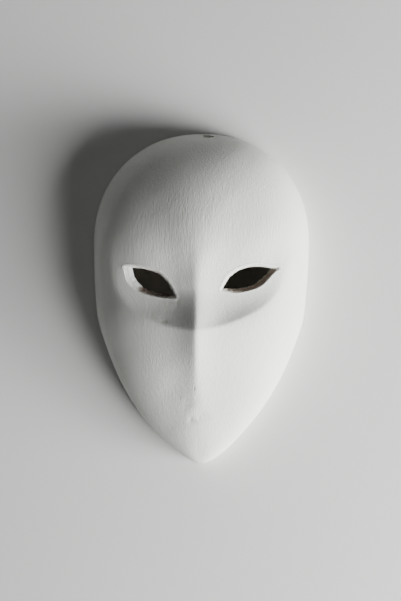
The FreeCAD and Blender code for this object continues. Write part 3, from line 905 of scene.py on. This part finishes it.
def paper_finish(scene):
    """Pasted paper: fibres and faint blotches of dried paste."""
    look = scene.mask_finish
    finish = Finish("pasted_paper")
    fibres = finish.noise(finish.stretched((900, 240, 900)), detail=3.0)
    blotch = finish.noise(finish.place, 70.0, 3.0)
    shade = finish.blend(finish.ranged(blotch, 0.3, 0.7), look.paper_colour, look.lining_light)
    base = finish.blend(finish.stored("painted"), shade, look.gesso_colour)
    return finish.end(base, 0.85, fibres, 0.0001)


def lining_finish(scene):
    """Torn strips of paper, each in its own tone, with fibres and darker paste at their edges."""
    look = scene.mask_finish
    finish = Finish("lining_strips")
    tone = finish.stored("tone")
    edge = finish.stored("torn")
    fibres = finish.noise(finish.place, 700.0, 4.0, 0.6)
    base = finish.blend(finish.ranged(tone + fibres * 0.15, 0.0, 1.1), look.lining_dark, look.lining_light)
    base = finish.blend(edge * 0.55, base, look.gesso_shade)
    return finish.end(base, 0.88, fibres, 0.00015)


def rim_finish(scene):
    """Folded paper strip, painted where it meets the face and bare inside."""
    look = scene.mask_finish
    finish = Finish("edging_rim")
    bare = finish.stored("bare")
    fibres = finish.noise(finish.place, 800.0, 3.0)
    blotch = finish.noise(finish.place, 90.0, 3.0)
    inside = finish.blend(finish.ranged(blotch, 0.35, 0.7), look.lining_light, look.paper_colour)
    base = finish.blend(bare, look.gesso_colour, inside)
    return finish.end(base, 0.8, fibres, 0.00012)


def floor_finish(scene):
    """Plain pale matt floor."""
    look = scene.mask_finish
    finish = Finish("stage_floor")
    soft = finish.noise(finish.place, 3.0, 2.0)
    base = finish.blend(soft * 0.06, look.floor_colour, (0.72, 0.72, 0.71))
    return finish.end(base, 0.9)


# ---- pieces -----------------------------------------------------------------------------------

def cutters_of(form):
    """The three openings."""
    return [EyeCut(form, "left"), EyeCut(form, "right"), HangingHole(form)]


def torn_strips(form, points):
    """Lining of torn strips laid over each other: height, tone and torn edge of the top strip."""
    rng = np.random.default_rng(LINING_SEED)
    height = np.zeros(len(points))
    tone = np.full(len(points), 0.5)
    torn = np.zeros(len(points))
    for _ in range(form.layers.strip_count):
        pick = points[rng.integers(len(points))]
        heading = rng.uniform(0, math.pi)
        u = np.array([math.cos(heading), math.sin(heading), rng.uniform(-0.5, 0.5)])
        u /= np.linalg.norm(u)
        half_long = rng.uniform(22, 38) * MM
        half_wide = rng.uniform(8, 13) * MM
        away = points - pick
        along = away @ u
        across = np.sqrt(np.maximum((away ** 2).sum(1) - along ** 2, 0))
        ragged = RAGGED * slow_waves(points, int(rng.integers(1 << 30)), 0.003, 0.014, 10)
        inside = np.minimum(half_long - np.abs(along), half_wide - across) + ragged
        cover = soft_step(inside / RAGGED)
        height = height * (1 - STRIP_SINK * cover) + STRIP_HEIGHT * cover
        tone = tone * (1 - cover) + rng.uniform(0, 1) * cover
        torn = torn * (1 - cover) + cover * (1 - soft_step(inside / PASTE_REACH))
    return height, tone, torn


class LayerOperator:
    """One layer of the laminate, from the rim edging upwards."""

    bl_options = {"REGISTER", "UNDO"}
    node = ""
    slot = ""

    def depths(self, layers):
        raise NotImplementedError

    def low(self, layers):
        return layers.edging

    def shape(self, form, outer, inner):
        return outer, inner

    def finish(self, scene):
        return paper_finish(scene)

    def values(self, form, points, used):
        """How much each point is painted: only in the hanging hole."""
        return {"painted": HangingHole(form).nearness(points)}

    def execute(self, context):
        form = Form(context.scene)
        rows = row_shares(form.layers.rows)
        columns = column_shares(form.layers.columns)
        depths = self.depths(form.layers)
        grids = [form.sheet(rows, columns, depth, self.low(form.layers)) for depth in depths]
        grids = self.shape(form, *grids)
        points, faces, used = cut_layer(form, *grids, depths, cutters_of(form))
        make_piece(self.node + "_surface", points, faces, self.finish(context.scene), self.node,
                   self.values(form, points, used))
        return {"FINISHED"}


class MASK_OT_gesso_coat(LayerOperator, Operator):
    """Adds the gesso coat with its brushed surface and hand marks"""

    bl_idname = "mask.gesso_coat"
    bl_label = "Gesso coat"
    node = "gesso_coat"
    slot = "gesso"

    def depths(self, layers):
        return 0.0, layers.gesso

    def shape(self, form, outer, inner):
        outer = outer.copy()
        outer[..., 2] += form.hand_made(outer)
        return outer, inner

    def finish(self, scene):
        return gesso_finish(scene)


class MASK_OT_face_paper(LayerOperator, Operator):
    """Adds the outer layer of pasted paper"""

    bl_idname = "mask.face_paper"
    bl_label = "Face paper"
    node = "face_paper"
    slot = "pasted_paper"

    def depths(self, layers):
        return layers.gesso, layers.gesso + layers.face_paper

    def low(self, layers):
        return layers.edging_outside


class MASK_OT_core_paper(LayerOperator, Operator):
    """Adds the thick middle layer of pasted paper"""

    bl_idname = "mask.core_paper"
    bl_label = "Core paper"
    node = "core_paper"
    slot = "pasted_paper"

    def depths(self, layers):
        start = layers.gesso + layers.face_paper
        return start, start + layers.core_paper


class MASK_OT_lining_paper(LayerOperator, Operator):
    """Adds the lining of torn paper strips"""

    bl_idname = "mask.lining_paper"
    bl_label = "Lining paper"
    node = "lining_paper"
    slot = "lining"

    def depths(self, layers):
        start = layers.gesso + layers.face_paper + layers.core_paper
        return start, start + layers.lining_paper

    def low(self, layers):
        return layers.edging_inside

    def shape(self, form, outer, inner):
        flat = inner.reshape(-1, 3)
        height, self.tone, self.torn = torn_strips(form, flat)
        into = height * soft_step((flat[:, 2] - self.low(form.layers)) / (2 * MM))
        normals = outward_z(grid_normals(inner)).reshape(-1, 3)
        return outer, (flat - normals * into[:, None]).reshape(inner.shape)

    def values(self, form, points, used):
        count = len(self.tone)
        return {"tone": self.tone[used % count], "torn": self.torn[used % count]}

    def finish(self, scene):
        return lining_finish(scene)


class MASK_OT_rim_edging(Operator):
    """Adds the paper strip folded round the rim"""

    bl_idname = "mask.rim_edging"
    bl_label = "Rim edging"
    bl_options = {"REGISTER", "UNDO"}

    def execute(self, context):
        form = Form(context.scene)
        layers = form.layers
        around = 300
        skin_side = layers.gesso
        leg_side = layers.gesso + layers.face_paper
        inner_side = form.wall - layers.lining_paper
        fold = 0.3 * MM
        profile = [
            (0.0, layers.edging), (0.0, fold), (fold, 0.0), (form.wall - fold, 0.0), (form.wall, fold),
            (form.wall, layers.edging_inside / 2), (form.wall, layers.edging_inside),
            (inner_side, layers.edging_inside), (inner_side, layers.edging),
            (leg_side, layers.edging), (leg_side, layers.edging_outside),
            (skin_side, layers.edging_outside), (skin_side, layers.edging),
        ]
        loops = [form.rim_loop(depth, height, around) for depth, height in profile]
        points = np.concatenate(loops)
        bare = np.repeat([0.0, 0.0, 0.4] + [1.0] * (len(profile) - 3), len(loops[0]))
        faces = tube_faces(len(profile), len(loops[0]))
        make_piece("rim_edging_strip", points, faces, rim_finish(context.scene), "rim_edging",
                   {"bare": bare})
        return {"FINISHED"}


class MASK_OT_eye_edgings(Operator):
    """Adds the strips that line the cuts of both eye openings"""

    bl_idname = "mask.eye_edgings"
    bl_label = "Eye edgings"
    bl_options = {"REGISTER", "UNDO"}

    def execute(self, context):
        form = Form(context.scene)
        finish = cut_finish(context.scene)
        for side in EYES:
            points, faces, values = eye_strip(form, side)
            node = side + "_eye_edging"
            make_piece(node + "_strip", points, faces, finish, node, values)
        return {"FINISHED"}


def eye_strip(form, side):
    """Closed profile carried round an opening: out on the skin, over a rounded lip, down the cut's
    sloping wall, in under the lining, and back. The lip is wider along the upper lid. Each point
    of the profile is its distance outwards in plan, its lift off the skin or its share of the
    wall's depth, and how far it belongs to the wall."""
    count = 150
    cut = EyeCut(form, side, count)
    thick = form.layers.eye_edging
    lip = [(2.6, -0.02, 0.0), (2.2, 0.04, 0.0), (1.85, 0.17, 0.0), (1.5, 0.12, 0.0), (1.1, -0.16, 0.0),
           (0.7, -0.56, 0.05), (0.35, -1.02, 0.15), (0.08, -1.5, 0.4)]
    wall = [(0.0, 0.44, 0.8), (0.0, 0.56, 1.0), (0.0, 0.70, 1.0), (0.0, 0.86, 1.0), (0.05, 0.98, 1.0),
            (0.5, 1.08, 1.0), (1.6, 1.08, 1.0), (2.8, 1.06, 1.0), (2.8, 0.99, 1.0), (thick / MM, 0.96, 1.0),
            (thick / MM, 0.5, 1.0), (thick / MM, 0.16, 0.5), (1.0, 0.05, 0.0), (2.0, 0.02, 0.0)]
    around = len(cut.lip)
    x = cut.lip[:, 0]
    along_low = np.clip((np.arange(around) - count + 1) / (count - 1), 0, 1)
    low_lid = soft_step(along_low / 0.12) * soft_step((1 - along_low) / 0.05)
    rings = []
    walls = []
    for grow, lift, in_wall in lip:
        plan = cut.lip + cut.lip_out * (grow * MM * (1 - 0.5 * low_lid))[:, None]
        z = form.skin_height(plan[:, 0], plan[:, 1]) + lift * MM * (1 - 0.2 * low_lid)
        rings.append(np.column_stack([plan, z]))
        walls.append(in_wall)
    for grow, share, in_wall in wall:
        plan = cut.outline(min(share, 1.0) * form.wall, grow * MM)
        z = form.skin_height(plan[:, 0], plan[:, 1]) - share * form.wall
        rings.append(np.column_stack([plan, z]))
        walls.append(in_wall)
    for ring, in_wall in zip(rings, walls):
        rough = slow_waves(ring, 21, 0.0011, 0.004, 16) * (0.04 + 0.14 * in_wall) * MM
        ring[:, :2] += cut.lip_out * rough[:, None]
    points = np.concatenate(rings)
    in_wall = np.repeat(walls, around)
    # Painted highlight: the left eye's outer wall, which faces the light, is made white like the lips'
    # crests
    if side == "left":
        white = soft_step((-40 * MM - x) / (6 * MM))
        wall_shade_share = 0.75 * (1 - white)
    else:
        white = np.zeros(around)
        wall_shade_share = 0.6 + 0.4 * soft_step((x - 24 * MM) / (12 * MM))
    # Painted shade on the walls of the lower lids: darkest towards the right eye's outer end, none on the
    # left eye's lit outer wall, and thinner near the wall's inner edge, which leaves a lighter band there
    depth_share = np.repeat([0.0] * len(lip) + [min(point[1], 1.0) for point in wall], around)
    rim_light = 1 - 0.8 * bell(depth_share - 1.0, 0.10)
    # Painted highlight along the crest of the lip
    crisp = np.repeat([0, 0, 0.25, 0.7, 1, 1, 1, 0.8] + [0.0] * len(wall), around)
    values = {"crisp": np.maximum(crisp, in_wall * np.tile(white, len(rings))),
              "wall": in_wall * np.tile(1 - 0.95 * white, len(rings)),
              "stain": np.tile(wall_shade_share * low_lid, len(rings)) * in_wall * rim_light}
    return points, tube_faces(len(rings), around), values


# ---- stage ------------------------------------------------------------------------------------

class MASK_OT_stage(Operator):
    """Adds the floor, the lights and the camera"""

    bl_idname = "mask.stage"
    bl_label = "Stage"
    bl_options = {"REGISTER", "UNDO"}

    def execute(self, context):
        scene = context.scene
        look = scene.mask_finish
        add_floor(scene)
        for name, place, width in LIGHTS:
            add_light(name, getattr(look, name + "_power"), place, width)
        world = bpy.data.worlds.new("studio")
        world.use_nodes = True
        background = world.node_tree.nodes["Background"]
        background.inputs["Color"].default_value = (1, 1, 1, 1)
        background.inputs["Strength"].default_value = look.world_level
        scene.world = world
        add_camera(scene)
        return {"FINISHED"}


def add_floor(scene):
    """A large flat sheet just under the rim."""
    reach = 4.0
    drop = -0.2 * MM
    corners = [(-reach, -reach, drop), (reach, -reach, drop), (reach, reach, drop), (-reach, reach, drop)]
    mesh = bpy.data.meshes.new("floor")
    mesh.from_pydata(corners, [], [(0, 1, 2, 3)])
    mesh.materials.append(floor_finish(scene))
    floor = bpy.data.objects.new("floor", mesh)
    scene.collection.objects.link(floor)


def add_light(name, power, place, size):
    """A square soft light that faces the mask's middle."""
    light = bpy.data.lights.new(name, "AREA")
    light.shape = "SQUARE"
    light.size = size
    light.energy = power
    lamp = bpy.data.objects.new(name, light)
    aim = Vector((0, 0, 0.03)) - Vector(place)
    lamp.matrix_world = Matrix.Translation(place) @ aim.to_track_quat("-Z", "Y").to_matrix().to_4x4()
    bpy.context.scene.collection.objects.link(lamp)


def add_camera(scene):
    """Nearly straight above the face, a little from the right, and slightly turned."""
    target = Vector((-0.0001, -0.0016, 0))
    distance = 0.9
    lean = math.radians(3.0)
    roll = math.radians(0.88)
    back = Vector((math.tan(lean), 0, 1)).normalized()
    right = Vector((0, 1, 0)).cross(back).normalized()
    up = back.cross(right)
    turned_right = right * math.cos(roll) + up * math.sin(roll)
    turned_up = up * math.cos(roll) - right * math.sin(roll)
    data = bpy.data.cameras.new("camera")
    data.sensor_fit = "VERTICAL"
    data.sensor_height = 24.0
    data.lens = 49.16
    camera = bpy.data.objects.new("camera", data)
    turn = Matrix((turned_right, turned_up, back)).transposed().to_4x4()
    camera.matrix_world = Matrix.Translation(target + back * distance) @ turn
    scene.collection.objects.link(camera)
    scene.camera = camera


class MASK_PT_panel(Panel):
    """Lists the mask's pieces in the sidebar"""

    bl_idname = "MASK_PT_panel"
    bl_label = "Face mask"
    bl_space_type = "VIEW_3D"
    bl_region_type = "UI"
    bl_category = "Mask"

    def draw(self, context):
        for operator in OPERATORS:
            self.layout.operator(operator.bl_idname)


SETTINGS = {"mask_outline": MaskOutline, "mask_relief": MaskRelief, "mask_laminate": MaskLaminate,
            "mask_finish": MaskFinish}
OPERATORS = (MASK_OT_gesso_coat, MASK_OT_face_paper, MASK_OT_core_paper, MASK_OT_lining_paper,
             MASK_OT_rim_edging, MASK_OT_eye_edgings, MASK_OT_stage)


def register():
    for group in SETTINGS.values():
        bpy.utils.register_class(group)
    for operator in OPERATORS:
        bpy.utils.register_class(operator)
    bpy.utils.register_class(MASK_PT_panel)
    for name, group in SETTINGS.items():
        setattr(bpy.types.Scene, name, PointerProperty(type=group))


def unregister():
    for name in SETTINGS:
        delattr(bpy.types.Scene, name)
    bpy.utils.unregister_class(MASK_PT_panel)
    for operator in reversed(OPERATORS):
        bpy.utils.unregister_class(operator)
    for group in reversed(list(SETTINGS.values())):
        bpy.utils.unregister_class(group)


def main():
    register()
    bpy.ops.mask.gesso_coat()
    bpy.ops.mask.face_paper()
    bpy.ops.mask.core_paper()
    bpy.ops.mask.lining_paper()
    bpy.ops.mask.rim_edging()
    bpy.ops.mask.eye_edgings()
    bpy.ops.mask.stage()


if __name__ == "__main__":
    main()
